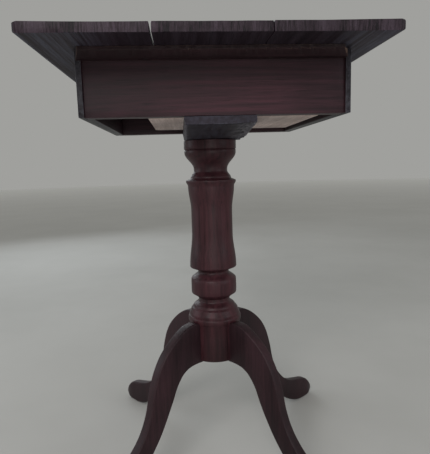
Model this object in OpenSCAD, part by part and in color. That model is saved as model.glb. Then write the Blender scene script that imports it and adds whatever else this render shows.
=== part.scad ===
// Tilt top table: a boarded square top on a shallow box frame, which tips over
// to one side on two iron pins above a turned column with four curved legs.
// The origin is on the floor under the column. +Y points to the back.

/* [Top] */
// Height of the table with the top level
table_h = 720; // [690:1:760]
// Thickness of the top boards
top_t = 14; // [12:0.5:20]
// Left edge of the top, measured from the column's axis
top_left = 241; // [225:1:260]
// Right edge of the top, measured from the column's axis
top_right = 227; // [215:1:245]
// Depth of the top, front to back
top_d = 522; // [480:1:560]
// Where the left board ends, measured from the column's axis
left_joint_x = -83; // [-95:0.5:-70]
// Where the right board begins, measured from the column's axis
right_joint_x = 64; // [50:0.5:78]
// Open gap between the left and the middle board
board_gap = 2; // [0.5:0.5:4]

/* [Box frame] */
// Width of the box frame, outside the side panels
box_w = 378; // [360:1:390]
// Depth of the box frame
box_d = 360; // [350:1:380]
// Height of the box frame's panels
box_h = 87.5; // [84:0.5:100]
// Thickness of the side panels
side_t = 17; // [14:1:20]
// Thickness of the front and back panels
panel_t = 22; // [18:1:24]
// How far the side panels stand in front of the front panel
side_lip = 3; // [1:0.5:5]

/* [Battens] */
// Height of the battens under the top
batten_h = 13; // [12:0.5:18]
// Width of the battens, front to back
batten_w = 26; // [18:1:30]

/* [Stand] */
// Width of the bearer that the column is tenoned into
bearer_w = 103; // [90:1:105]
// Thickness of the bearer over the column
bearer_t = 24; // [22:1:30]
// Thickness of the bearer at its two ends
bearer_end_t = 12; // [10:1:18]
// Radius of the round tenon on top of the column
tenon_r = 15; // [12:0.5:18]
// Thickness of the pivot board
pivot_board_t = 11.2; // [10:0.2:13]

/* [Pivot] */
// Distance of the pivot pins from the column's axis, to the right
pin_x = 70.5; // [68:0.5:74]
// Radius of the pivot pins
pin_r = 3; // [2.5:0.25:3.5]
// Radial clearance of the pins in the box panels
pin_gap = 0.06; // [0.03:0.01:0.1]

/* [Legs] */
// Thickness of the legs
leg_t = 20; // [16:1:24]
// Turn of the leg set about the column
leg_turn = -5; // [-8:1:8]

/* [Hidden] */
round_fn = 48;

walnut = [0.22, 0.13, 0.11];
dark_wood = [0.15, 0.10, 0.09];
pale_wood = [0.62, 0.55, 0.46];
iron = [0.25, 0.25, 0.26];

// Heights, from the top down
top_z = table_h - top_t;
box_z = top_z - box_h;
rest_gap = 0.3;
bearer_z = box_z - rest_gap;
cap_z = bearer_z - bearer_t;
board_top_z = bearer_z + pivot_board_t;
pin_z = bearer_z + pivot_board_t / 2;

// Box frame
box_front_y = -box_d / 2;
panel_front_y = box_front_y + side_lip;
panel_inner_y = panel_front_y + panel_t;
back_inner_y = box_d / 2 - panel_t;
rabbet = side_t - 9;
panel_end_x = box_w / 2 - rabbet;
side_inner_x = box_w / 2 - side_t;
running_gap = 0.6;

// Battens
batten_left_x = -189;
batten_right_x = 180;
batten_bevel = 8;
batten_fascia = 5.5;
batten_foot_w = 12;

// Pivot board, its rear block and the bearer
bearer_x = 5;
bearer_len = 350;
bearer_flat_len = 120;
board_left_x = -97;
board_right_x = 150;
board_front_y = panel_inner_y + running_gap;
board_back_y = 54.5;
board_chamfer = 8;
block_left_x = -10;
block_right_x = 92;
block_t = 24;
block_h = 24;
block_back_y = back_inner_y - running_gap;
pin_depth = 42;
rear_pin_depth = 16;

// Nails are square in section, with a square head
nail_w = 2.6;
nail_head_w = 5.2;
nail_head_t = 1.4;
nail_gap = 0.05;
panel_nail_len = 40;
panel_nail_z = [17, 45, 73];
batten_nail_len = 21;
batten_nail_x = [-165, -95, -10, 75, 145];
board_nail_len = 21;
board_nail_x = [-34, 44];
board_nail_y = [-130, -45, 35];
block_nail_len = 38;
block_nail_x = [5, 45];
keeper_nail_len = 28;
keeper_nail_x = [-76, -64];

// Glue blocks in the corners under the top
glue_w = 16;
glue_len = 60;
glue_side_y = [-110, 50];
glue_cross_x = -125;

// Turn button and keeper
button_x = -70;
button_y = -118;
button_len = 66;
button_w = 18;
button_t = 8;
spacer_r = 10;
spacer_t = 7.6;
screw_r = 2.5;
screw_head_r = 5;
screw_head_t = 2.2;
screw_slot_w = 1;
screw_slot_d = 1;
screw_depth = 10;
keeper_w = 30;
keeper_d = 17;
keeper_h = 6;
keeper_gap = 1;

// Column and its leg joints
base_z = 198;
block_r = 47.5;
skirt_z = 265;
seat_r = 45.5;
leg_root_z = 195;
leg_shoulder_z = skirt_z - 0.5;
tail_z = 200;
tail_depth = 12;
tail_neck_w = 10;
tail_root_w = 16;
wedge_w = 3;
wedge_depth = 20;

// A half wave from one point of a turned outline to the next
function wave(r0, z0, r1, z1, n = 8) =
    [for (i = [0:n]) [r0 + (r1 - r0) * (1 - cos(180 * i / n)) / 2, z0 + (z1 - z0) * i / n]];

// One stretch of a smooth curve through four neighbouring points
function spline_at(a, b, c, d, t) =
    0.5 * (2 * b + (c - a) * t + (2 * a - 5 * b + 4 * c - d) * t * t
           + (3 * b - a - 3 * c + d) * t * t * t);

// A smooth open curve through a list of points
function spline(p, n = 4) =
    let (last = len(p) - 1)
    concat([for (i = [0:last - 1]) for (k = [0:n - 1])
                spline_at(p[max(i - 1, 0)], p[i], p[i + 1], p[min(i + 2, last)], k / n)],
           [p[last]]);

// A box from its low corner to its high corner
module span(low, high) {
    translate(low) cube(high - low);
}

// A square nail, its head at the origin and its point along +Z
module nail(length, grow = 0) {
    translate([-nail_w / 2 - grow, -nail_w / 2 - grow, 0])
        cube([nail_w + 2 * grow, nail_w + 2 * grow, length + grow]);
    translate([-nail_head_w / 2 - grow, -nail_head_w / 2 - grow, -grow])
        cube([nail_head_w + 2 * grow, nail_head_w + 2 * grow, nail_head_t + 2 * grow]);
}

module panel_nail_set(grow = 0) {
    for (side = [-1, 1], y = [panel_front_y + panel_t / 2, back_inner_y + panel_t / 2], z = panel_nail_z)
        translate([side * box_w / 2, y, box_z + z]) rotate([0, -90 * side, 0]) nail(panel_nail_len, grow);
}

module batten_nail_set(grow = 0) {
    for (y = [panel_front_y - batten_foot_w / 2, box_d / 2 + batten_foot_w / 2], x = batten_nail_x)
        translate([x, y, top_z - batten_h]) nail(batten_nail_len, grow);
}

module board_nail_set(grow = 0) {
    for (x = board_nail_x, y = board_nail_y)
        translate([x, y, board_top_z]) rotate([180, 0, 0]) nail(board_nail_len, grow);
}

module block_nail_set(grow = 0) {
    for (x = block_nail_x)
        translate([x, block_back_y - block_t / 2, bearer_z + block_h])
            rotate([180, 0, 0]) nail(block_nail_len, grow);
}

module keeper_nail_set(grow = 0) {
    for (x = keeper_nail_x)
        translate([x, panel_inner_y + keeper_d, board_top_z + keeper_gap + keeper_h / 2])
            rotate([90, 0, 0]) nail(keeper_nail_len, grow);
}

module top_board(x0, x1) {
    difference() {
        span([x0, -top_d / 2, top_z], [x1, top_d / 2, table_h]);
        batten_nail_set(nail_gap);
    }
}

module top_board_left() color(walnut) top_board(-top_left, left_joint_x - board_gap / 2);
module top_board_middle() color(walnut) top_board(left_joint_x + board_gap / 2, right_joint_x - 0.2);
module top_board_right() color(walnut) top_board(right_joint_x + 0.2, top_right);

// A batten along +X with its back at y = 0: upright fascia, chamfer below, ends bevelled in plan
// and notched behind for the side panels' lips
module batten_shape() {
    difference() {
        translate([batten_left_x, 0, 0]) rotate([90, 0, 90]) linear_extrude(batten_right_x - batten_left_x) polygon([
            [0, top_z],
            [-batten_w, top_z],
            [-batten_w, top_z - batten_fascia],
            [-batten_foot_w, top_z - batten_h],
            [0, top_z - batten_h]]);
        translate([0, 0, top_z - batten_h - 1]) linear_extrude(batten_h + 2) {
            polygon([[batten_left_x - 1, -side_lip], [batten_left_x, -side_lip],
                     [batten_left_x + batten_bevel, -batten_w - 1], [batten_left_x - 1, -batten_w - 1]]);
            polygon([[batten_right_x + 1, -side_lip], [batten_right_x, -side_lip],
                     [batten_right_x - batten_bevel, -batten_w - 1], [batten_right_x + 1, -batten_w - 1]]);
        }
        span([batten_left_x - 1, -side_lip, top_z - batten_h - 1], [-panel_end_x, 1, top_z + 1]);
    }
}

module front_batten() color(dark_wood) difference() {
    translate([0, panel_front_y, 0]) batten_shape();
    batten_nail_set(nail_gap);
}

module rear_batten() color(dark_wood) difference() {
    translate([0, box_d / 2, 0]) mirror([0, 1, 0]) batten_shape();
    batten_nail_set(nail_gap);
}

module batten_nails() color(iron) batten_nail_set();

// Front or back panel, let into the side panels' rabbets and bored for a pivot pin
module cross_panel(y) {
    difference() {
        span([-panel_end_x, y, box_z], [panel_end_x, y + panel_t, top_z]);
        translate([pin_x, y - 1, pin_z]) rotate([-90, 0, 0])
            cylinder(r = pin_r + pin_gap, h = panel_t + 2, $fn = round_fn);
        panel_nail_set(nail_gap);
    }
}

module front_panel() color(walnut) difference() {
    cross_panel(panel_front_y);
    keeper_nail_set(nail_gap);
}

module back_panel() color(walnut) cross_panel(back_inner_y);

module side_panel(side) {
    color(dark_wood) difference() {
        if (side > 0) span([side_inner_x, box_front_y, box_z], [box_w / 2, box_d / 2, top_z]);
        else span([-box_w / 2, box_front_y, box_z], [-side_inner_x, box_d / 2, top_z]);
        span([-panel_end_x, box_front_y - 1, box_z - 1], [panel_end_x, panel_inner_y, top_z + 1]);
        span([-panel_end_x, back_inner_y, box_z - 1], [panel_end_x, box_d / 2 + 1, top_z + 1]);
        panel_nail_set(nail_gap);
    }
}

module left_side_panel() side_panel(-1);
module right_side_panel() side_panel(1);
module panel_nails() color(iron) panel_nail_set();

// Four blocks along the sides and two across the front and back
module glue_blocks() color(pale_wood) {
    for (y = glue_side_y) {
        span([-side_inner_x, y, top_z - glue_w], [-side_inner_x + glue_w, y + glue_len, top_z]);
        span([side_inner_x - glue_w, y, top_z - glue_w], [side_inner_x, y + glue_len, top_z]);
    }
    for (y = [panel_inner_y, back_inner_y - glue_w])
        span([glue_cross_x, y, top_z - glue_w], [glue_cross_x + glue_len, y + glue_w, top_z]);
}

// The block that the turn button swings over
module keeper_block() color(pale_wood) difference() {
    span([button_x - keeper_w / 2, panel_inner_y, board_top_z + keeper_gap],
         [button_x + keeper_w / 2, panel_inner_y + keeper_d, board_top_z + keeper_gap + keeper_h]);
    keeper_nail_set(nail_gap);
}

module keeper_nails() color(iron) keeper_nail_set();

module front_pin_shape() translate([pin_x, panel_front_y, pin_z]) rotate([-90, 0, 0])
    cylinder(r = pin_r, h = panel_t + running_gap + pin_depth, $fn = round_fn);

module rear_pin_shape() translate([pin_x, block_back_y - rear_pin_depth, pin_z]) rotate([-90, 0, 0])
    cylinder(r = pin_r, h = rear_pin_depth + running_gap + panel_t, $fn = round_fn);

module pivot_pin_front() color(iron) front_pin_shape();
module pivot_pin_rear() color(iron) rear_pin_shape();

// The button's screw stands upright in the pivot board
module screw_shank(r) translate([button_x, button_y, board_top_z - screw_depth])
    cylinder(r = r, h = screw_depth + spacer_t + button_t + 1, $fn = round_fn);

// The thin board that lies in the open bottom of the box and holds the front pin
module pivot_board() color(pale_wood) difference() {
    translate([0, 0, bearer_z]) linear_extrude(pivot_board_t) polygon([
        [board_left_x, board_front_y],
        [board_right_x, board_front_y],
        [board_right_x, board_back_y],
        [board_left_x + board_chamfer, board_back_y],
        [board_left_x, board_back_y - board_chamfer]]);
    front_pin_shape();
    board_nail_set(nail_gap);
    screw_shank(screw_r);
}

module pivot_board_nails() color(iron) board_nail_set();

module rear_pivot_block() color(dark_wood) difference() {
    span([block_left_x, block_back_y - block_t, bearer_z], [block_right_x, block_back_y, bearer_z + block_h]);
    rear_pin_shape();
    block_nail_set(nail_gap);
}

module pivot_block_nails() color(iron) block_nail_set();

// A bar with rounded ends that turns on its screw
module turn_button() color(dark_wood) difference() {
    translate([button_x, button_y, board_top_z + spacer_t + 0.1]) {
        translate([-(button_len - button_w) / 2, -button_w / 2, 0])
            cube([button_len - button_w, button_w, button_t]);
        for (end = [-1, 1])
            translate([end * (button_len - button_w) / 2, 0, 0])
                cylinder(d = button_w, h = button_t, $fn = round_fn);
    }
    screw_shank(screw_r + pin_gap);
}

module button_spacer() color(dark_wood) difference() {
    translate([button_x, button_y, board_top_z]) cylinder(r = spacer_r, h = spacer_t, $fn = round_fn);
    screw_shank(screw_r);
}

module button_screw() color(iron) {
    head_z = board_top_z + spacer_t + button_t + 0.4;
    difference() {
        union() {
            translate([button_x, button_y, board_top_z - screw_depth])
                cylinder(r = screw_r, h = head_z - board_top_z + screw_depth, $fn = round_fn);
            translate([button_x, button_y, head_z])
                cylinder(r = screw_head_r, h = screw_head_t, $fn = round_fn);
        }
        translate([button_x - screw_head_r - 1, button_y - screw_slot_w / 2, head_z + screw_head_t - screw_slot_d])
            cube([2 * screw_head_r + 2, screw_slot_w, screw_slot_d + 1]);
    }
}

// The bearer, thick over the column and thin at both ends
module bearer() color(dark_wood) difference() {
    translate([bearer_x - bearer_w / 2, 0, 0]) rotate([90, 0, 90]) linear_extrude(bearer_w) polygon([
        [-bearer_len / 2, bearer_z],
        [-bearer_len / 2, bearer_z - bearer_end_t],
        [-bearer_flat_len / 2, cap_z],
        [bearer_flat_len / 2, cap_z],
        [bearer_len / 2, bearer_z - bearer_end_t],
        [bearer_len / 2, bearer_z]]);
    translate([0, 0, cap_z - 1]) cylinder(r = tenon_r, h = bearer_t + 2, $fn = round_fn);
    board_nail_set(nail_gap);
    block_nail_set(nail_gap);
}

// Hardwood wedge driven into the tenon's saw cut
module wedge_shape() span([-tenon_r + 3, -wedge_w / 2, bearer_z - wedge_depth], [tenon_r - 3, wedge_w / 2, bearer_z]);
module tenon_wedge() color(pale_wood) wedge_shape();

// The turned outline from the leg block up to the cap, and the tenon above it
function column_outline() = concat(
    [[0, base_z], [block_r, base_z], [block_r, skirt_z], [48, skirt_z], [49, skirt_z + 1.5]],
    [[49, 273.5], [47.5, 275.5], [46.5, 276.5], [46.8, 279], [45.5, 282.5]],
    [[43.8, 284.5], [43.5, 287.5], [41.5, 290.5], [39.2, 292]],
    wave(38.5, 293.5, 29, 304),
    [[29, 309], [41.2, 317.5], [41.8, 319], [41.6, 345.5]],
    [[28.5, 355.5], [28.3, 360]],
    [[42.6, 366], [43, 367.5]],
    wave(42.8, 369, 37.4, 428),
    wave(37.4, 470, 41.9, 515),
    [[45.3, 521], [45.3, 524], [38.5, 526.5]],
    wave(36.5, 528, 30.2, 541),
    wave(30.2, 544.5, 46.2, 573),
    [[46.3, 577.5], [45.4, 578.2], [46.6, 579], [46.7, cap_z]],
    [[tenon_r, cap_z], [tenon_r, bearer_z], [0, bearer_z]]);

// Dovetail tongue in plan, cut into the column from seat_r inward
module tail_plan() polygon([
    [seat_r + 0.01, -tail_neck_w / 2],
    [seat_r + 0.01, tail_neck_w / 2],
    [seat_r - tail_depth, tail_root_w / 2],
    [seat_r - tail_depth, -tail_root_w / 2]]);

leg_angles = [-45, 45, 135, 225];

module column() color(walnut) difference() {
    rotate_extrude($fn = 64) polygon(column_outline());
    for (a = leg_angles) rotate([0, 0, a + leg_turn]) {
        span([seat_r, -leg_t / 2, base_z - 1], [block_r + 1, leg_t / 2, leg_shoulder_z]);
        translate([0, 0, tail_z]) linear_extrude(leg_shoulder_z - tail_z) tail_plan();
    }
    wedge_shape();
}

// Upper and lower edges of a leg, from the column out to the foot
leg_upper = [[50.5, 270], [74, 267.5], [98, 254], [122, 233], [138, 210], [147, 188], [153, 168],
             [159, 143], [168, 119], [182, 96], [202, 75], [227, 61], [256, 53], [284, 44]];
leg_toe = [[300, 30], [308, 16], [307, 6], [300, 0]];
leg_lower = [[266, 0], [236, 9], [208, 25], [181, 47], [158, 73], [140, 97], [125.5, 121], [113, 145],
             [103, 166], [90, 183], [75, 192], [60, 195]];

module leg(index) {
    foot = spline(concat(leg_upper, leg_toe));
    color(dark_wood) rotate([0, 0, leg_angles[index] + leg_turn]) {
        rotate([90, 0, 0]) translate([0, 0, -leg_t / 2]) linear_extrude(leg_t) polygon(concat(
            [[seat_r, leg_shoulder_z], [leg_upper[0][0], leg_shoulder_z]], foot, spline(leg_lower),
            [[seat_r, leg_root_z]]));
        translate([0, 0, tail_z]) linear_extrude(leg_shoulder_z - tail_z) tail_plan();
    }
}

module leg_front_right() leg(0);
module leg_rear_right() leg(1);
module leg_rear_left() leg(2);
module leg_front_left() leg(3);

top_board_left();
top_board_middle();
top_board_right();
front_batten();
rear_batten();
batten_nails();
front_panel();
back_panel();
left_side_panel();
right_side_panel();
panel_nails();
glue_blocks();
keeper_block();
keeper_nails();
pivot_pin_front();
pivot_pin_rear();
pivot_board();
pivot_board_nails();
rear_pivot_block();
pivot_block_nails();
turn_button();
button_spacer();
button_screw();
bearer();
tenon_wedge();
column();
leg_front_left();
leg_front_right();
leg_rear_left();
leg_rear_right();
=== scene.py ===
"""Looks of the tilt top table: worn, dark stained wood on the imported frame. Lengths are in metres."""
import math
import random

import bmesh
import bpy
from mathutils import Matrix, Vector, noise


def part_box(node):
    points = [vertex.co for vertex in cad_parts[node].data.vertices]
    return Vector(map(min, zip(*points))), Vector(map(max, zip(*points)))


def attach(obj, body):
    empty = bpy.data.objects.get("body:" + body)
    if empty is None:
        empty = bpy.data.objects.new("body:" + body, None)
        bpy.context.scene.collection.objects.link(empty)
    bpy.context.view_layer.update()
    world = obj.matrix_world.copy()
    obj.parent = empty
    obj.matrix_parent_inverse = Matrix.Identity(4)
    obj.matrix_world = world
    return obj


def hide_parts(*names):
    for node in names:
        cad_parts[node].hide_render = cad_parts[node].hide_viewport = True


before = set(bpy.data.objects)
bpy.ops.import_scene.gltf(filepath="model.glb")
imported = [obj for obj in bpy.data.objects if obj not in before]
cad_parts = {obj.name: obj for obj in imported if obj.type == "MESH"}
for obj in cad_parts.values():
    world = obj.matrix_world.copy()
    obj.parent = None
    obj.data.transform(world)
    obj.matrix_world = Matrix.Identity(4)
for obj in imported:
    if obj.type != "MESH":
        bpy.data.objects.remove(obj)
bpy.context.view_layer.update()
MM = 0.001
noise.seed_set(7)        # noise_vector has a random offset of its own until this is set

# ---------------------------------------------------------------- camera
CAMERA_PLACE = (-0.0532, -0.8154, 0.5499)
CAMERA_YAW = 0.0714
CAMERA_PITCH = 0.136
CAMERA_ROLL = -0.028
CAMERA_LENS = 35.7


def make_camera():
    """A camera in front of the table, a little to the left, below the top and looking slightly down."""
    ahead = Vector((math.sin(CAMERA_YAW) * math.cos(CAMERA_PITCH),
                    math.cos(CAMERA_YAW) * math.cos(CAMERA_PITCH),
                    -math.sin(CAMERA_PITCH)))
    level = Vector((math.cos(CAMERA_YAW), -math.sin(CAMERA_YAW), 0))
    above = level.cross(ahead)
    right = level * math.cos(CAMERA_ROLL) + above * math.sin(CAMERA_ROLL)
    up = above * math.cos(CAMERA_ROLL) - level * math.sin(CAMERA_ROLL)
    data = bpy.data.cameras.new("camera")
    data.lens = CAMERA_LENS
    data.sensor_width = 36
    data.clip_start = 0.01
    camera = bpy.data.objects.new("camera", data)
    bpy.context.scene.collection.objects.link(camera)
    facing = Matrix((right, up, -ahead)).transposed().to_4x4()
    camera.matrix_world = Matrix.Translation(CAMERA_PLACE) @ facing
    bpy.context.scene.camera = camera


# ---------------------------------------------------------------- node helpers
class Nodes:
    """A short way to write a material's node tree."""

    def __init__(self, name):
        self.material = bpy.data.materials.new(name)
        self.material.use_nodes = True
        self.tree = self.material.node_tree
        self.shader = self.tree.nodes["Principled BSDF"]

    def add(self, kind, **values):
        node = self.tree.nodes.new(kind)
        for key, value in values.items():
            setattr(node, key, value)
        return node

    def link(self, source, target):
        self.tree.links.new(source, target)

    def place(self, scale, turn=(0, 0, 0), shift=(0, 0, 0)):
        """Object coordinates, scaled, so that a grain keeps its real size."""
        coordinates = self.add("ShaderNodeTexCoord")
        mapping = self.add("ShaderNodeMapping")
        mapping.inputs["Scale"].default_value = scale
        mapping.inputs["Rotation"].default_value = turn
        mapping.inputs["Location"].default_value = shift
        self.link(coordinates.outputs["Object"], mapping.inputs["Vector"])
        return mapping.outputs["Vector"]

    def noise(self, vector, scale=1.0, detail=4.0, rough=0.55, warp=0.0):
        node = self.add("ShaderNodeTexNoise")
        node.inputs["Scale"].default_value = scale
        node.inputs["Detail"].default_value = detail
        node.inputs["Roughness"].default_value = rough
        node.inputs["Distortion"].default_value = warp
        self.link(vector, node.inputs["Vector"])
        return node.outputs["Fac"]

    def ramp(self, value, stops):
        """Maps a value to colours: stops is a list of (position, colour)."""
        node = self.add("ShaderNodeValToRGB")
        band = node.color_ramp
        while len(band.elements) < len(stops):
            band.elements.new(0.5)
        for element, (position, colour) in zip(band.elements, stops):
            element.position = position
            element.color = (*colour, 1) if len(colour) == 3 else colour
        self.link(value, node.inputs["Fac"])
        return node.outputs["Color"]

    def grey(self, value, low, high, dark=0.0, bright=1.0):
        return self.ramp(value, [(low, (dark,) * 3), (high, (bright,) * 3)])

    def mix(self, factor, first, second, blend="MIX"):
        node = self.add("ShaderNodeMix", data_type="RGBA", blend_type=blend)
        for socket_name, value in (("Factor", factor), ("A", first), ("B", second)):
            socket = node.inputs[socket_name]
            if isinstance(value, (int, float)):
                socket.default_value = value
            elif isinstance(value, tuple):
                socket.default_value = (*value, 1)
            else:
                self.link(value, socket)
        return node.outputs["Result"]

    def maths(self, operation, first, second=0.0):
        node = self.add("ShaderNodeMath", operation=operation)
        for socket, value in zip(node.inputs, (first, second)):
            if isinstance(value, (int, float)):
                socket.default_value = value
            else:
                self.link(value, socket)
        return node.outputs["Value"]

    def worn_edge(self, radius):
        """1 along sharp edges and 0 on flat wood."""
        bevel = self.add("ShaderNodeBevel", samples=6)
        bevel.inputs["Radius"].default_value = radius
        geometry = self.add("ShaderNodeNewGeometry")
        dot = self.add("ShaderNodeVectorMath", operation="DOT_PRODUCT")
        self.link(bevel.outputs["Normal"], dot.inputs[0])
        self.link(geometry.outputs["Normal"], dot.inputs[1])
        return self.maths("SUBTRACT", 1.0, dot.outputs["Value"])

    def bump(self, height, strength, distance):
        node = self.add("ShaderNodeBump")
        node.inputs["Strength"].default_value = strength
        node.inputs["Distance"].default_value = distance
        self.link(height, node.inputs["Height"])
        self.link(node.outputs["Normal"], self.shader.inputs["Normal"])


def grain_scale(axis, along, across):
    """Texture scale for a grain that runs along one axis."""
    return tuple(along if i == axis else across for i in range(3))


def arched_rings(n, crown_x, crown_z):
    """Growth rings cut at a slant, so that they arch over a crown below the panel's middle."""
    flat = 0.15
    vector = n.place((flat, 0, 1), shift=(-crown_x * flat, 0, -crown_z))
    length = n.add("ShaderNodeVectorMath", operation="LENGTH")
    n.link(vector, length.inputs[0])
    return n.maths("MULTIPLY", length.outputs["Value"], 190.0)


def paint_crown_light_and_shade(n, crown_x, crown_z):
    """Painted light and shade on a panel: lighter and redder around its crown, near its bottom edge, with
    painted shade towards its top under the top's overhang, and darker towards its ends.
    """
    vector = n.place((4.2, 0, 9.5), shift=(-crown_x * 4.2, 0, -crown_z * 9.5))
    length = n.add("ShaderNodeVectorMath", operation="LENGTH")
    n.link(vector, length.inputs[0])
    return n.ramp(length.outputs["Value"], [(0.05, (1.34, 1.22, 1.24)), (0.85, (0.74, 0.74, 0.76))])


# Pale grey of bare torn wood, also used as painted light on the bearer's lit sides.
BARE_AND_LIT_WOOD = (0.21, 0.20, 0.23)
HAZE = (0.16, 0.17, 0.20)


def wood(name, dark, light, worn, axis, gloss=0.42, wear=0.5, rings=26.0, rough_sawn=0.0,
         shift=(0, 0, 0), dust=HAZE, dust_amount=0.0, arches=None, specular=0.22, torn=False):
    """Stained wood: long figure, fine pores, patchy stain, worn arrises and a haze on the finish.

    The grain runs along axis. arches is the crown, (x, z), of the arched rings on a flat-sawn
    panel, and the centre of painted light, with painted shade towards the panel's top. torn reads the
    mesh's own attribute of that name, which says where the surface is bare and where painted light falls on
    the bearer's lit sides."""
    n = Nodes(name)
    figure = n.noise(n.place(grain_scale(axis, 1.1, rings), shift=shift), 1.0, 3.0, 0.5, 0.6)
    pores = n.noise(n.place(grain_scale(axis, 28.0, 900.0), shift=shift), 1.0, 5.0, 0.6)
    streak = n.noise(n.place(grain_scale(axis, 5.0, 190.0), shift=shift), 1.0, 4.0, 0.6)
    patch = n.noise(n.place((7, 7, 7), shift=shift), 1.0, 3.0, 0.6)
    rings_value = n.maths("MULTIPLY", figure, 9.0)
    if arches:
        rings_value = n.maths("ADD", arched_rings(n, *arches), n.maths("MULTIPLY", figure, 9.0))
    lines = n.maths("PINGPONG", rings_value, 1.0)
    share = 0.13 if arches else 0.24
    tone = n.maths("ADD", n.maths("MULTIPLY", lines, share), n.maths("MULTIPLY", streak, 1.0 - share))
    colour = n.ramp(tone, [(0.22, dark), (0.72, light)])
    stain = n.grey(patch, 0.3, 0.72, 0.62, 1.16)
    colour = n.mix(1.0, colour, stain, "MULTIPLY")
    colour = n.mix(n.grey(pores, 0.30, 0.46, 0.75, 0.0), colour, tuple(c * 0.45 for c in dark))
    if arches:
        # Painted light near the panel's bottom, painted shade towards its top, and darker towards its ends.
        colour = n.mix(1.0, colour, paint_crown_light_and_shade(n, arches[0], arches[1] + 0.02), "MULTIPLY")
    scuff = n.noise(n.place((55, 55, 55), shift=shift), 1.0, 5.0, 0.7)
    edge = n.grey(n.worn_edge(0.0022), 0.02, 0.22)
    rubbed = n.maths("MULTIPLY", n.maths("MULTIPLY", edge, n.grey(scuff, 0.38, 0.62)), wear)
    colour = n.mix(rubbed, colour, worn)
    if torn:
        # Real bare torn wood together with painted light on the bearer's lit left face and right side.
        torn_and_lit_spread = n.add("ShaderNodeAttribute", attribute_name="torn")
        bare = n.noise(n.place((190, 70, 190), shift=shift), 1.0, 6.0, 0.75)
        mask = n.maths("MULTIPLY", torn_and_lit_spread.outputs["Fac"], n.grey(bare, 0.42, 0.60))
        colour = n.mix(mask, colour, BARE_AND_LIT_WOOD)
    if dust_amount:
        haze = n.maths("MULTIPLY", n.grey(streak, 0.42, 0.75), dust_amount)
        colour = n.mix(haze, colour, dust)
    n.link(colour, n.shader.inputs["Base Color"])
    shine = n.grey(streak, 0.3, 0.8, gloss - 0.08, gloss + 0.13)
    shine = n.maths("ADD", shine, n.maths("MULTIPLY", rubbed, 0.2))
    n.link(n.maths("ADD", shine, n.grey(patch, 0.35, 0.75, 0.0, 0.10)), n.shader.inputs["Roughness"])
    n.shader.inputs["Specular IOR Level"].default_value = specular
    streak_height = n.maths("MULTIPLY", streak, 0.55 + rough_sawn)
    height = n.maths("ADD", n.maths("MULTIPLY", pores, 0.45), streak_height)
    if rough_sawn:
        saw = n.noise(n.place(grain_scale(axis, 240.0, 22.0), shift=shift), 1.0, 4.0, 0.7, 0.8)
        height = n.maths("ADD", height, n.maths("MULTIPLY", saw, rough_sawn))
    n.bump(height, 0.35 + 0.3 * rough_sawn, 0.0006 + 0.0008 * rough_sawn)
    return n.material


# Painted bluish reflection of the surroundings on the top's underside.
OVERHANG_PAINTED_SHEEN = (0.095, 0.097, 0.132)


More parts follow.
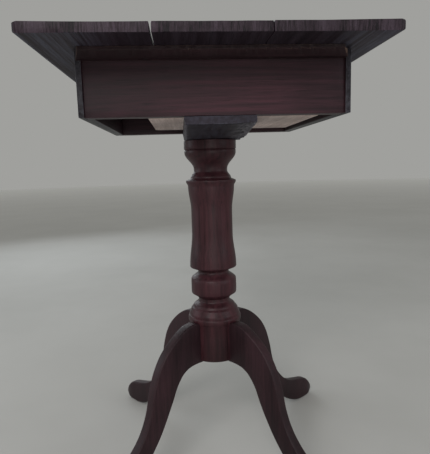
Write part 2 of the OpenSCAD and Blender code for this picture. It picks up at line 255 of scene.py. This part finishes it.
def end_grain_wood(name, dark, light, worn, shift):
    """Boards that run front to back: long figure on their faces, upright ticks on their sawn ends,
    and a painted bluish reflection under the overhangs, away from the box."""
    n = Nodes(name)
    along = 1
    figure = n.noise(n.place(grain_scale(along, 1.0, 17.0), shift=shift), 1.0, 3.0, 0.5, 0.9)
    streak = n.noise(n.place(grain_scale(along, 3.5, 150.0), shift=shift), 1.0, 5.0, 0.6)
    pores = n.noise(n.place(grain_scale(along, 26.0, 850.0), shift=shift), 1.0, 4.0, 0.6)
    lines = n.maths("PINGPONG", n.maths("MULTIPLY", figure, 10.0), 1.0)
    tone = n.maths("ADD", n.maths("MULTIPLY", lines, 0.16), n.maths("MULTIPLY", streak, 0.84))
    face = n.ramp(tone, [(0.2, dark), (0.75, light)])
    ticks = n.noise(n.place((430, 20, 42), turn=(0, 0.10, 0), shift=shift), 1.0, 4.0, 0.65, 0.25)
    broad = n.noise(n.place((38, 5, 6), shift=shift), 1.0, 3.0, 0.55)
    end_tone = n.maths("ADD", n.maths("MULTIPLY", ticks, 0.62), n.maths("MULTIPLY", broad, 0.38))
    tick_dark = tuple(c * 0.35 for c in dark)
    tick_light = tuple(c * 0.7 for c in light)
    ends = n.ramp(end_tone, [(0.40, tick_dark), (0.47, tick_light), (0.62, worn)])
    geometry = n.add("ShaderNodeNewGeometry")
    parts = n.add("ShaderNodeSeparateXYZ")
    n.link(geometry.outputs["True Normal"], parts.inputs["Vector"])
    is_end = n.grey(n.maths("ABSOLUTE", parts.outputs["Y"]), 0.55, 0.8)
    colour = n.mix(is_end, face, ends)
    under = n.grey(n.maths("MULTIPLY", parts.outputs["Z"], -1.0), 0.4, 0.8)
    patch = n.noise(n.place((9, 3.0, 9), shift=shift), 1.0, 4.0, 0.65)
    outside = n.add("ShaderNodeSeparateXYZ")
    n.link(n.place((1, 1, 1)), outside.inputs["Vector"])
    overhang = n.grey(n.maths("ABSOLUTE", outside.outputs["X"]), 0.13, 0.20, 0.10, 1.0)
    # Painted reflection: bluish sheen on downward faces outside the box, with painted shade left near the
    # box.
    painted_sheen = n.maths("MULTIPLY", under, overhang)
    painted_sheen = n.maths("MULTIPLY", painted_sheen, n.grey(streak, 0.40, 0.62, 0.0, 0.9))
    colour = n.mix(painted_sheen, colour, OVERHANG_PAINTED_SHEEN)
    colour = n.mix(1.0, colour, n.grey(patch, 0.3, 0.7, 0.66, 1.15), "MULTIPLY")
    colour = n.mix(n.grey(pores, 0.30, 0.46, 0.7, 0.0), colour, tuple(c * 0.4 for c in dark))
    scuff = n.noise(n.place((60, 60, 60), shift=shift), 1.0, 5.0, 0.7)
    edge = n.grey(n.worn_edge(0.002), 0.02, 0.25)
    rubbed = n.maths("MULTIPLY", edge, n.grey(scuff, 0.40, 0.62, 0.0, 0.55))
    colour = n.mix(rubbed, colour, worn)
    n.link(colour, n.shader.inputs["Base Color"])
    dull = n.maths("ADD", n.maths("MULTIPLY", is_end, 0.12), n.maths("MULTIPLY", under, 0.22))
    rough = n.maths("ADD", n.grey(streak, 0.3, 0.8, 0.36, 0.5), dull)
    n.link(rough, n.shader.inputs["Roughness"])
    n.shader.inputs["Specular IOR Level"].default_value = 0.2
    grooves = n.noise(n.place(grain_scale(along, 6.0, 120.0), shift=shift), 1.0, 5.0, 0.65, 0.4)
    long_grain = n.maths("ADD", n.maths("MULTIPLY", streak, 0.8), n.maths("MULTIPLY", pores, 0.2))
    under_grooves = n.maths("MULTIPLY", n.maths("MULTIPLY", under, grooves), 0.9)
    long_grain = n.maths("ADD", long_grain, under_grooves)
    n.bump(n.mix(is_end, long_grain, n.maths("MULTIPLY", ticks, 0.6)), 0.6, 0.0012)
    return n.material


def iron(name):
    """Dark hand-forged iron with brown rust and scratches."""
    n = Nodes(name)
    rust = n.noise(n.place((420, 420, 420)), 1.0, 5.0, 0.65)
    grit = n.noise(n.place((2200, 2200, 2200)), 1.0, 3.0, 0.6)
    colour = n.ramp(rust, [(0.32, (0.010, 0.009, 0.010)),
                           (0.55, (0.022, 0.015, 0.014)),
                           (0.72, (0.05, 0.022, 0.013))])
    n.link(colour, n.shader.inputs["Base Color"])
    n.link(n.grey(rust, 0.3, 0.7, 0.45, 0.8), n.shader.inputs["Roughness"])
    n.link(n.grey(rust, 0.45, 0.62, 0.55, 0.05), n.shader.inputs["Metallic"])
    n.bump(n.maths("ADD", rust, n.maths("MULTIPLY", grit, 0.5)), 0.5, 0.0003)
    return n.material


# ---------------------------------------------------------------- mesh helpers
def wobble(point, size, scale, seed):
    """A small, smooth and repeatable push in three directions."""
    shift = Vector((seed * 3.7, seed * 1.3, seed * 2.1))
    return noise.noise_vector(Vector(point) * scale + shift) * size


def finish_mesh(name, mesh_maker, material, body, nodes):
    """Turns a built mesh into a piece that rides on a body and stands for CAD nodes."""
    mesh = bpy.data.meshes.new(name)
    mesh_maker.normal_update()
    mesh_maker.to_mesh(mesh)
    mesh_maker.free()
    piece = bpy.data.objects.new(name, mesh)
    bpy.context.scene.collection.objects.link(piece)
    mesh.materials.append(material)
    for face in mesh.polygons:
        face.use_smooth = True
    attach(piece, body)
    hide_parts(*nodes)
    return piece


def plank(maker, low, high, bevel=1.2 * MM, cuts=(8, 8, 2), shape=None, jitter=0.12 * MM, seed=1):
    """Adds a sawn board with eased arrises, cut into a grid so that it can be warped."""
    low, high = Vector(low), Vector(high)
    made = bmesh.ops.create_cube(maker, size=1)["verts"]
    for v in made:
        v.co = Vector([low[i] + (v.co[i] + 0.5) * (high[i] - low[i]) for i in range(3)])
    edges = list({e for v in made for e in v.link_edges})
    bmesh.ops.bevel(maker, geom=edges, offset=bevel, segments=2, profile=0.6, affect="EDGES")
    slack = 1e-6
    inside = [v for v in maker.verts
              if all(low[i] - slack <= v.co[i] <= high[i] + slack for i in range(3))]
    for i in range(3):
        axis = Vector([1.0 if k == i else 0.0 for k in range(3)])
        for step in range(1, cuts[i]):
            at = low + (high - low) * (step / cuts[i])
            faces = list({f for v in inside if v.is_valid for f in v.link_faces})
            edges = list({e for f in faces for e in f.edges})
            corners = list({v for f in faces for v in f.verts})
            geometry = faces + edges + corners
            cut = bmesh.ops.bisect_plane(maker, geom=geometry, plane_co=at, plane_no=axis)
            inside = list({v for v in inside if v.is_valid} |
                          {g for g in cut["geom_cut"] if isinstance(g, bmesh.types.BMVert)})
    for v in inside:
        at = v.co.copy()
        if shape:
            v.co = Vector(shape(at))
        v.co += wobble(at, jitter, 18.0, seed)


def sharp_by_angle(piece, degrees=32):
    piece.data.set_sharp_from_angle(angle=math.radians(degrees))


def fit_inside(piece, low, high):
    """Keeps every vertex inside a box, so that warping never makes the object larger."""
    for v in piece.data.vertices:
        v.co = Vector([min(max(v.co[i], low[i]), high[i]) for i in range(3)])


def loft(maker, rings):
    """Joins rings of points, in order, into a closed skin."""
    made = [[maker.verts.new(p) for p in ring] for ring in rings]
    count = len(made[0])
    for below, above in zip(made, made[1:]):
        for i in range(count):
            k = (i + 1) % count
            maker.faces.new((below[i], below[k], above[k], above[i]))
    maker.faces.new(list(reversed(made[0])))
    maker.faces.new(made[-1])


# ---------------------------------------------------------------- materials
STAIN_DARK = (0.014, 0.0065, 0.0095)
STAIN = (0.056, 0.021, 0.029)
PURPLE_DARK = (0.012, 0.008, 0.013)
PURPLE = (0.036, 0.021, 0.031)
RED_DARK = (0.015, 0.0055, 0.0075)
RED = (0.066, 0.021, 0.027)
RUBBED = (0.130, 0.078, 0.080)
RUBBED_GREY = (0.125, 0.130, 0.165)

panel_wood = wood("panel_wood", STAIN_DARK, STAIN, RUBBED, axis=0, gloss=0.42, rings=20.0,
                  arches=(0.03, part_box("front_panel")[0].z - 0.012))
side_wood = wood("side_panel_wood", (0.008, 0.007, 0.010), (0.022, 0.018, 0.025), RUBBED_GREY,
                 axis=1, gloss=0.40, wear=0.6, dust_amount=0.2, shift=(0.4, 0.2, 0.1))
side_face_wood = wood("side_face_wood", STAIN_DARK, (0.048, 0.020, 0.028), RUBBED,
                      axis=1, gloss=0.44, wear=0.5, rings=15.0, shift=(0.8, 0.3, 0.2))
batten_wood = wood("batten_wood", (0.012, 0.006, 0.0075), (0.036, 0.017, 0.021), (0.22, 0.15, 0.12),
                   axis=0, gloss=0.5, wear=0.6, shift=(0.3, 0.7, 0.2), specular=0.2)
column_wood = wood("column_wood", RED_DARK, RED, RUBBED,
                   axis=2, gloss=0.36, wear=0.35, rings=9.0, specular=0.24)
leg_wood = wood("leg_wood", (0.013, 0.006, 0.008), (0.040, 0.017, 0.022), RUBBED,
                axis=2, gloss=0.42, wear=0.6, rings=9.0, shift=(0.1, 0.5, 0.9))
bearer_wood = wood("bearer_wood", (0.018, 0.014, 0.020), (0.032, 0.026, 0.038), RUBBED_GREY,
                   axis=1, gloss=0.58, wear=0.9, rough_sawn=0.12, dust=(0.11, 0.12, 0.16),
                   dust_amount=0.2, shift=(0.6, 0.1, 0.4), torn=True)
pale_wood = wood("pale_wood", (0.42, 0.31, 0.28), (0.78, 0.66, 0.62), (0.80, 0.70, 0.65),
                 axis=1, gloss=0.62, wear=0.4, rings=14.0, rough_sawn=0.2, shift=(0.2, 0.9, 0.5))
iron_metal = iron("iron")


# ---------------------------------------------------------------- top boards
WARP_LIFT = 1.6 * MM
EDGE_EASE = 1.8 * MM
CORNER_ROUND = 6 * MM
GAP_CLOSING = 0.9 * MM
GAP_CLOSES_OVER = 60 * MM


def make_top():
    """Three boards that have cupped a little, with rounded outer corners and a wedge-shaped gap."""
    nodes = ("top_board_left", "top_board_middle", "top_board_right")
    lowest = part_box(nodes[0])[0]
    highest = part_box(nodes[2])[1]
    lifts = {"top_board_left": (1.0, 0.35), "top_board_middle": (0.35, 0.3), "top_board_right": (0.25, 1.0)}
    for index, node in enumerate(nodes):
        low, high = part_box(node)
        left_lift, right_lift = lifts[node]
        middle_z = (low.z + high.z) / 2

        def shape(at, low=low, high=high, left_lift=left_lift, right_lift=right_lift, index=index):
            across = (at.x - low.x) / (high.x - low.x)
            cup = left_lift * (1 - across) ** 2 + right_lift * across ** 2 - 1.0
            wave = 0.35 * MM * math.sin(9.0 * at.y + 2.1 * index)
            out = at.copy()
            out.z += WARP_LIFT * cup + wave
            closing = GAP_CLOSING * min(max((at.y - low.y) / GAP_CLOSES_OVER - 1.0, 0.0), 1.0)
            if index == 0 and across > 0.97:
                out.x += closing - 0.5 * MM * (at.z - low.z) / (high.z - low.z)
            if index == 1 and across < 0.03:
                out.x -= closing
            edge = 1.0 * MM * noise.noise(Vector((at.x * 35, index, 0.3)))
            if abs(at.y) > high.y - 0.01:
                out.y -= math.copysign(max(edge, 0), at.y)
            middle_x, half_w = (low.x + high.x) / 2, (high.x - low.x) / 2
            corner = max(0.0, abs(at.x - middle_x) - (half_w - CORNER_ROUND))
            outer_left = index == 0 and at.x < low.x + CORNER_ROUND
            outer_right = index == 2 and at.x > high.x - CORNER_ROUND
            if outer_left or outer_right:
                squeeze = 1 - 0.30 * (corner / CORNER_ROUND) ** 2
                out.z = out.z + (middle_z - at.z) * (1 - squeeze)
                if abs(at.y) > high.y - 0.012:
                    out.y -= math.copysign(2.4 * MM * (corner / CORNER_ROUND) ** 2, at.y)
            return out

        maker = bmesh.new()
        plank(maker, low, high, bevel=EDGE_EASE, cuts=(26, 24, 2), shape=shape, seed=index + 3)
        material = end_grain_wood(node + "_wood", PURPLE_DARK, PURPLE, (0.062, 0.044, 0.060),
                                  shift=(0.31 * index, 0.17 * index, 0.4 * index))
        piece = finish_mesh(node.replace("top_board", "top"), maker, material, "top", [node])
        fit_inside(piece, lowest, highest)
        sharp_by_angle(piece)


# ---------------------------------------------------------------- battens and box frame
BATTEN_FASCIA = 5.5 * MM
BATTEN_FOOT = 12 * MM
BATTEN_BEVEL = 8 * MM
SIDE_LIP = 3 * MM
CHIP_COUNT = 60


def make_batten(node, facing):
    """A strip with an upright fascia, a chamfer below it, slanted ends and chips along its arris."""
    low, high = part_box(node)
    rng = random.Random(5)
    chips = [(rng.uniform(low.x, high.x), rng.uniform(1.5, 6) * MM, rng.uniform(0.4, 1.3) * MM)
             for _ in range(CHIP_COUNT)]
    front = low.y if facing < 0 else high.y
    back = high.y if facing < 0 else low.y
    arris_z, foot = high.z - BATTEN_FASCIA, back + facing * BATTEN_FOOT
    steps = 180
    rings = []
    for i in range(steps + 1):
        t = i / steps
        dent = 0.25 * MM * noise.noise(Vector((t * 40, 3.0, 1.0)))
        for x, width, depth in chips:
            away = abs(low.x + (high.x - low.x) * t - x)
            if away < width:
                dent += depth * (1 - away / width)
        dent = max(dent, 0)
        sag = 0.4 * MM * noise.noise(Vector((t * 9, 7.0, 2.0)))

        def at(y, z, foot_share=0.0):
            reach = abs(y - back) - SIDE_LIP
            bevel = BATTEN_BEVEL * max(0.0, reach) / (abs(front - back) - SIDE_LIP)
            left, right = low.x + bevel, high.x - bevel + 7 * MM * foot_share
            if t in (0.0, 1.0):
                left, right = left + 0.4 * MM, right - 0.4 * MM
            return (left + (right - left) * t, y, z)

        rings.append([at(back, high.z), at(front - facing * 0.6 * MM, high.z),
                      at(front, high.z - 0.6 * MM),
                      at(front - facing * dent * 0.4, arris_z + 0.8 * MM + dent * 0.5),
                      at(front - facing * (0.6 * MM + dent), arris_z - 0.3 * MM - sag, 0.4),
                      at(foot + facing * 1.0 * MM, low.z + 0.7 * MM, 0.8),
                      at(foot - facing * 0.3 * MM, low.z + 0.1 * MM, 0.8), at(back, low.z + 0.1 * MM)])
    maker = bmesh.new()
    loft(maker, rings)
    bmesh.ops.recalc_face_normals(maker, faces=maker.faces)
    piece = finish_mesh(node + "_strip", maker, batten_wood, "top", [node])
    fit_inside(piece, (low.x, low.y, low.z), (high.x, high.y, high.z))
    sharp_by_angle(piece, 25)


def make_panels():
    """Front, back and side panels with eased arrises; the sides keep their rabbets."""
    for node in ("front_panel", "back_panel"):
        low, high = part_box(node)
        maker = bmesh.new()
        plank(maker, low, high, bevel=1.3 * MM, cuts=(30, 2, 8), jitter=0.35 * MM, seed=11)
        sharp_by_angle(finish_mesh(node + "_board", maker, panel_wood, "top", [node]))
    for node, side in (("left_side_panel", -1), ("right_side_panel", 1)):
        low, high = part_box(node)
        front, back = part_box("front_panel"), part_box("back_panel")
        outer = low.x if side < 0 else high.x
        inner = high.x if side < 0 else low.x
        lip = front[0].x if side < 0 else front[1].x
        gap = 0.15 * MM
        maker = bmesh.new()
        outline = [(outer, low.y), (lip + side * gap, low.y), (lip + side * gap, front[1].y + gap),
                   (inner, front[1].y + gap), (inner, back[0].y - gap),
                   (lip + side * gap, back[0].y - gap), (lip + side * gap, high.y), (outer, high.y)]
        levels = [low.z + (high.z - low.z) * i / 6 for i in range(7)]
        loft(maker, [[(x, y, z) for x, y in outline] for z in levels])
        bmesh.ops.recalc_face_normals(maker, faces=maker.faces)
        sharp = [e for e in maker.edges if e.is_manifold and e.calc_face_angle(0) > 1.0]
        bmesh.ops.bevel(maker, geom=sharp, offset=1.1 * MM, segments=2, profile=0.6, affect="EDGES")
        for v in maker.verts:
            v.co += wobble(v.co, 0.2 * MM, 20.0, 4)
        piece = finish_mesh(node + "_board", maker, side_wood, "top", [node])
        piece.data.materials.append(side_face_wood)
        for face in piece.data.polygons:
            face.material_index = 1 if abs(face.normal.x) > 0.7 else 0
        fit_inside(piece, low, high)
        sharp_by_angle(piece)


# ---------------------------------------------------------------- small wooden pieces
GLUE_BLOCK = 16 * MM
GLUE_BLOCK_LENGTH = 60 * MM
GLUE_SIDE_STARTS = (-110 * MM, 50 * MM)
GLUE_CROSS_START = -125 * MM


def make_blocks():
    """Glue blocks, the keeper, the rear pivot block and the wedge."""
    low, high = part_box("glue_blocks")
    maker = bmesh.new()
    for side in (low.x, high.x - GLUE_BLOCK):
        for y in GLUE_SIDE_STARTS:
            plank(maker, (side, y, low.z), (side + GLUE_BLOCK, y + GLUE_BLOCK_LENGTH, high.z),
                  bevel=0.8 * MM, cuts=(1, 4, 1), jitter=0.3 * MM, seed=2)
    for y in (low.y, high.y - GLUE_BLOCK):
        plank(maker, (GLUE_CROSS_START, y, low.z),
              (GLUE_CROSS_START + GLUE_BLOCK_LENGTH, y + GLUE_BLOCK, high.z),
              bevel=0.8 * MM, cuts=(4, 1, 1), jitter=0.3 * MM, seed=3)
    sharp_by_angle(finish_mesh("glue_block_set", maker, pale_wood, "top", ["glue_blocks"]))
    for node, body, material, slot in (("keeper_block", "top", pale_wood, "pale_wood"),
                                       ("rear_pivot_block", "stand", bearer_wood, "bearer_wood"),
                                       ("tenon_wedge", "stand", pale_wood, "pale_wood")):
        low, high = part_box(node)
        maker = bmesh.new()
        plank(maker, low, high, bevel=0.5 * MM, cuts=(4, 2, 2), jitter=0.15 * MM, seed=6)
        sharp_by_angle(finish_mesh(node + "_wood", maker, material, body, [node]))


def make_pivot_board():
    """The pale board in the open bottom, with one clipped corner."""
    low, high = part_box("pivot_board")
    clip = 8 * MM

    def shape(at):
        out = at.copy()
        if at.x < low.x + clip and at.y > high.y - clip:
            over = (low.x + clip - at.x) + (at.y - (high.y - clip)) - clip
            if over > 0:
                out.x += over / 2
                out.y -= over / 2
        return out

    maker = bmesh.new()
    plank(maker, low, high, bevel=0.9 * MM, cuts=(40, 36, 1), shape=shape, jitter=0.2 * MM, seed=9)
    piece = finish_mesh("pivot_board_plank", maker, pale_wood, "stand", ["pivot_board"])
    sharp_by_angle(piece)


# ---------------------------------------------------------------- bearer
BEARER_END = 12 * MM
BEARER_FLAT_HALF = 60 * MM


def make_bearer():
    """Rough sawn bearer: flat on top, hewn to a slope below, with torn lower edges."""
    low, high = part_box("bearer")
    steps, across = 90, 26
    rings = []
    for i in range(steps + 1):
        y = low.y + (high.y - low.y) * i / steps
        reach = max(0.0, (abs(y) - BEARER_FLAT_HALF) / (high.y - BEARER_FLAT_HALF))
        bottom = low.z + (high.z - low.z - BEARER_END) * reach
        undercut = 5 * MM * (0.4 + 0.6 * (1 - reach))
        ring = []
        for k in range(across + 1):
            t = k / across
            x = low.x + undercut + (high.x - low.x - undercut - 1.2 * MM) * t
            torn = 4.5 * MM * max(0.0, t - 0.6) / 0.4 * (0.5 + noise.noise(Vector((y * 60, t * 9, 2.0))))
            hewn = 0.5 * MM * (1 + noise.noise(Vector((x * 12, y * 70, 0.7))))
            inset = 0.0 if 0 < i < steps else 0.8 * MM
            ring.append((x, y, bottom + hewn + max(0.0, torn) * (1 - 0.6 * reach) + inset))
        ring.append((high.x, y, bottom + 3.0 * MM))
        ring.append((high.x, y, high.z - 1.0 * MM))
        ring.append((high.x - 1.0 * MM, y, high.z))
        ring.append((low.x + 1.0 * MM, y, high.z))
        bulge = 0.5 * MM * noise.noise(Vector((y * 30, 4.0, 1.0)))
        ring.append((low.x + abs(bulge), y, high.z - 1.0 * MM))
        ring.append((low.x + 1.2 * MM + abs(bulge), y, bottom + 7.0 * MM))
        rings.append(ring)
    maker = bmesh.new()
    loft(maker, rings)
    bmesh.ops.recalc_face_normals(maker, faces=maker.faces)
    piece = finish_mesh("bearer_block", maker, bearer_wood, "stand", ["bearer"])
    sharp_by_angle(piece)
    # The torn attribute marks real bare torn wood and painted light: strongest on the lit left face, and
    # along the right-hand side.
    torn_and_lit_spread = piece.data.attributes.new("torn", "FLOAT", "POINT")
    for v, value in zip(piece.data.vertices, torn_and_lit_spread.data):
        right_edge = 1 - (high.x - v.co.x) / (34 * MM)
        lit_left_face = 1 - (v.co.x - low.x) / (6.5 * MM)
        below = 1.0 if v.co.z < high.z - 4 * MM else 0.0
        inward = 1.0 if abs(v.co.y) < high.y - 2 * MM else 0.0
        value.value = max(0.0, right_edge, 1.2 * lit_left_face) * below * inward


# ---------------------------------------------------------------- column
COLUMN_SEGMENTS = 144
TURNING_FLAW = 0.22 * MM


def wave(r0, z0, r1, z1, n=14):
    """A half wave from one point of a turned outline to the next."""
    return [(r0 + (r1 - r0) * (1 - math.cos(math.pi * i / n)) / 2, z0 + (z1 - z0) * i / n)
            for i in range(n + 1)]


def column_outline():
    """Radius and height, in millimetres, from the leg block up to the cap."""
    return ([(46, 198), (47.4, 199.4), (47.6, 215), (47.4, 240), (47.5, 264.0), (47.9, 264.8),
             (49, 266.2), (49, 273.2), (48.3, 275), (46.6, 276.2), (46.8, 279), (45.5, 282.5),
             (43.9, 284.3), (43.5, 287.5), (41.5, 290.5), (39.3, 291.8)]
            + wave(38.5, 293.5, 29, 304)
            + [(28.9, 308.4), (35, 313.5), (40.8, 317.2), (41.7, 318.8), (41.9, 326), (41.8, 338),
               (41.4, 344.8), (40.4, 346.4), (35, 350.8), (28.9, 355.2), (28.4, 357), (28.4, 359.4),
               (29.4, 360.8), (36, 363.4), (42.2, 366), (43, 367.4)]
            + wave(42.9, 369, 37.4, 428, 20) + wave(37.4, 470, 41.9, 515, 18)
            + [(44.9, 520.4), (45.3, 522.2), (44.8, 524), (41, 525.6), (38, 526.6), (37.2, 527.6)]
            + wave(36.5, 528.4, 30.2, 541) + wave(30.2, 544.5, 46.1, 573, 20)
            + [(46.3, 577.0), (45.9, 577.6), (45.2, 578.0), (45.3, 578.5), (46.3, 579.0),
               (46.6, 580.0), (46.7, 586), (46.6, 593.4), (45.8, 594.2)])


def make_column():
    """The outline turned about the column's axis, a little out of true."""
    base_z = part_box("column")[0].z
    maker = bmesh.new()
    rings = []
    for radius, z in column_outline():
        ring = []
        for i in range(COLUMN_SEGMENTS):
            a = 2 * math.pi * i / COLUMN_SEGMENTS
            dent = TURNING_FLAW * noise.noise(Vector((math.cos(a) * 1.6, math.sin(a) * 1.6, z * 0.035)))
            r = radius * MM + dent - 0.15 * MM
            ring.append((r * math.cos(a), r * math.sin(a), max(z * MM, base_z)))
        rings.append(ring)
    loft(maker, rings)
    bmesh.ops.recalc_face_normals(maker, faces=maker.faces)
    piece = finish_mesh("turned_column", maker, column_wood, "stand", ["column"])
    sharp_by_angle(piece, 40)


# ---------------------------------------------------------------- legs
LEG_TURN = -5.0
LEG_THICK = 20 * MM
LEG_ANGLES = {"leg_front_right": -45, "leg_rear_right": 45, "leg_rear_left": 135, "leg_front_left": 225}
TOE_STARTS = 0.285
TOE_LENGTH = 0.023


def catmull(points, steps):
    """A smooth run of points through every given point."""
    out = []
    last = len(points) - 1
    for i in range(last):
        a, b, c, d = (Vector(points[max(i - 1, 0)]), Vector(points[i]), Vector(points[i + 1]),
                      Vector(points[min(i + 2, last)]))
        for k in range(steps):
            t = k / steps
            out.append(0.5 * (2 * b + (c - a) * t + (2 * a - 5 * b + 4 * c - d) * t * t
                              + (3 * b - a - 3 * c + d) * t * t * t))
    out.append(Vector(points[-1]))
    return out


# Distance out and height, in millimetres, along a leg's upper and lower edges; the points pair up
LEG_UPPER = [(42, 264), (52, 269.5), (63, 269.5), (76, 266.5), (99, 253), (123, 232), (138.5, 209),
             (147.5, 187), (153.5, 167), (159, 143), (168, 119), (182, 96), (202, 75.5), (227, 61),
             (254, 53), (280, 46), (296, 35), (305, 24), (308, 14)]
LEG_LOWER = [(42, 195), (50, 195.2), (59, 195), (68, 194), (78, 191), (90, 183), (103, 166),
             (113, 145), (125.5, 121), (140, 97), (158, 73), (181, 47), (208, 25), (236, 9),
             (260, 1.5), (281, 0.4), (297, 1.0), (304, 5), (307, 12)]


def make_leg(node, angle):
    """A sawn S-shaped leg with rounded arrises and a padded toe."""
    upper = catmull([(*p, 0) for p in LEG_UPPER], 5)
    lower = catmull([(*p, 0) for p in LEG_LOWER], 5)
    turn = Matrix.Rotation(math.radians(angle + LEG_TURN), 4, "Z")
    seed = int(angle) % 7 + 1
    corner, arc = 2.4 * MM, 4
    rings = []
    for top, base in zip(upper, lower):
        top, base = top * MM, base * MM
        depth = (top - base).length
        out = (top.x + base.x) / 2
        toe = max(0.0, (out - TOE_STARTS) / TOE_LENGTH)
        half = LEG_THICK / 2 * (1 - 0.50 * toe ** 2) * (0.93 + 0.07 * math.cos(out * 20))
        half = min(half, LEG_THICK / 2)
        soft = min(corner * (1 + 1.8 * max(0.0, (out - 0.2) / 0.1)), depth * 0.45, half * 0.9)
        direction = (top - base).normalized()
        ring = []
        for sx, sd in ((1, -1), (1, 1), (-1, 1), (-1, -1)):
            for k in range(arc + 1):
                a = math.pi / 2 * k / arc
                if sx * sd > 0:
                    side, up = math.cos(a), math.sin(a)
                else:
                    side, up = math.sin(a), math.cos(a)
                across = sx * (half - soft + soft * side)
                along = sd * (depth / 2 - soft + soft * up)
                p = (top + base) / 2 + direction * along
                ring.append(Vector((p.x, across, p.y)))
        rings.append(ring)
    maker = bmesh.new()
    shaped = []
    for ring in rings:
        placed = []
        for p in ring:
            push = wobble(p, 0.45 * MM, 24.0, seed)
            q = turn @ (p + push)
            q.z = max(q.z, 0.0)
            placed.append(q)
        shaped.append(placed)
    loft(maker, shaped)
    bmesh.ops.recalc_face_normals(maker, faces=maker.faces)
    piece = finish_mesh(node + "_sawn", maker, leg_wood, "stand", [node])
    sharp_by_angle(piece, 45)


# ---------------------------------------------------------------- nodes kept from the CAD
def dress_cad():
    """Gives the small CAD pieces, whose shape is right, their materials."""
    iron_nodes = ("batten_nails", "panel_nails", "keeper_nails", "pivot_pin_front", "pivot_pin_rear",
                  "pivot_board_nails", "pivot_block_nails", "button_screw")
    wooden_nodes = ("turn_button", "button_spacer")
    for nodes, material in ((iron_nodes, iron_metal), (wooden_nodes, bearer_wood)):
        for node in nodes:
            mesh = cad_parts[node].data
            mesh.materials.clear()
            mesh.materials.append(material)


# ---------------------------------------------------------------- stage
FLOOR_RADIUS = 14
LAMPS_AIM_AT = Vector((0, 0, 0.5))


def make_stage():
    """Plain pale floor with painted light that pales it towards its rim, where the lamps no longer reach,
    soft world light and five large studio lamps.
    """
    floor_mesh = bpy.data.meshes.new("floor")
    maker = bmesh.new()
    bmesh.ops.create_circle(maker, cap_ends=True, segments=96, radius=FLOOR_RADIUS)
    maker.to_mesh(floor_mesh)
    maker.free()
    floor = bpy.data.objects.new("floor", floor_mesh)
    bpy.context.scene.collection.objects.link(floor)
    paint = Nodes("floor_paint")
    cloud = paint.noise(paint.place((1.4, 1.4, 1.4)), 1.0, 4.0, 0.6)
    tone = paint.ramp(cloud, [(0.3, (0.44, 0.44, 0.42)), (0.7, (0.50, 0.50, 0.48))])
    # Painted light: the floor's colour rises towards the rim so that the far floor, out of the lamps'
    # reach, matches the world.
    distance = paint.add("ShaderNodeVectorMath", operation="LENGTH")
    paint.link(paint.place((1 / FLOOR_RADIUS,) * 3), distance.inputs[0])
    painted_rim_light = paint.grey(distance.outputs["Value"], 0.12, 1.0)
    paint.link(paint.mix(painted_rim_light, tone, (0.95, 0.95, 0.93)), paint.shader.inputs["Base Color"])
    paint.shader.inputs["Roughness"].default_value = 0.9
    floor_mesh.materials.append(paint.material)
    world = bpy.data.worlds.new("studio")
    world.use_nodes = True
    world.node_tree.nodes["Background"].inputs["Color"].default_value = (0.37, 0.37, 0.355, 1)
    world.node_tree.nodes["Background"].inputs["Strength"].default_value = 0.95
    bpy.context.scene.world = world
    lamps = (("key", (-0.9, -2.5, 2.1), 40, 1.5, (1.0, 0.97, 0.96)),
             ("fill", (2.2, -1.6, 1.3), 13, 1.6, (0.92, 0.95, 1.0)),
             ("side", (-2.4, 0.4, 1.0), 9, 1.4, (0.88, 0.93, 1.0)),
             ("back", (-1.0, 2.4, 1.6), 16, 1.8, (0.88, 0.94, 1.0)),
             ("low", (0.1, -2.0, 0.35), 5, 1.2, (1.0, 0.95, 0.94)))
    for name, place, power, size, colour in lamps:
        data = bpy.data.lights.new(name, "AREA")
        data.energy = power
        data.shape = "DISK"
        data.size = size
        data.color = colour
        lamp = bpy.data.objects.new(name, data)
        bpy.context.scene.collection.objects.link(lamp)
        lamp.location = place
        lamp.rotation_mode = "QUATERNION"
        lamp.rotation_quaternion = (LAMPS_AIM_AT - Vector(place)).to_track_quat("-Z", "Y")
    bpy.context.scene.view_settings.view_transform = "Standard"


make_camera()
make_stage()
make_top()
make_batten("front_batten", -1)
make_batten("rear_batten", 1)
make_panels()
make_blocks()
make_pivot_board()
make_bearer()
make_column()
for leg, leg_angle in LEG_ANGLES.items():
    make_leg(leg, leg_angle)
dress_cad()
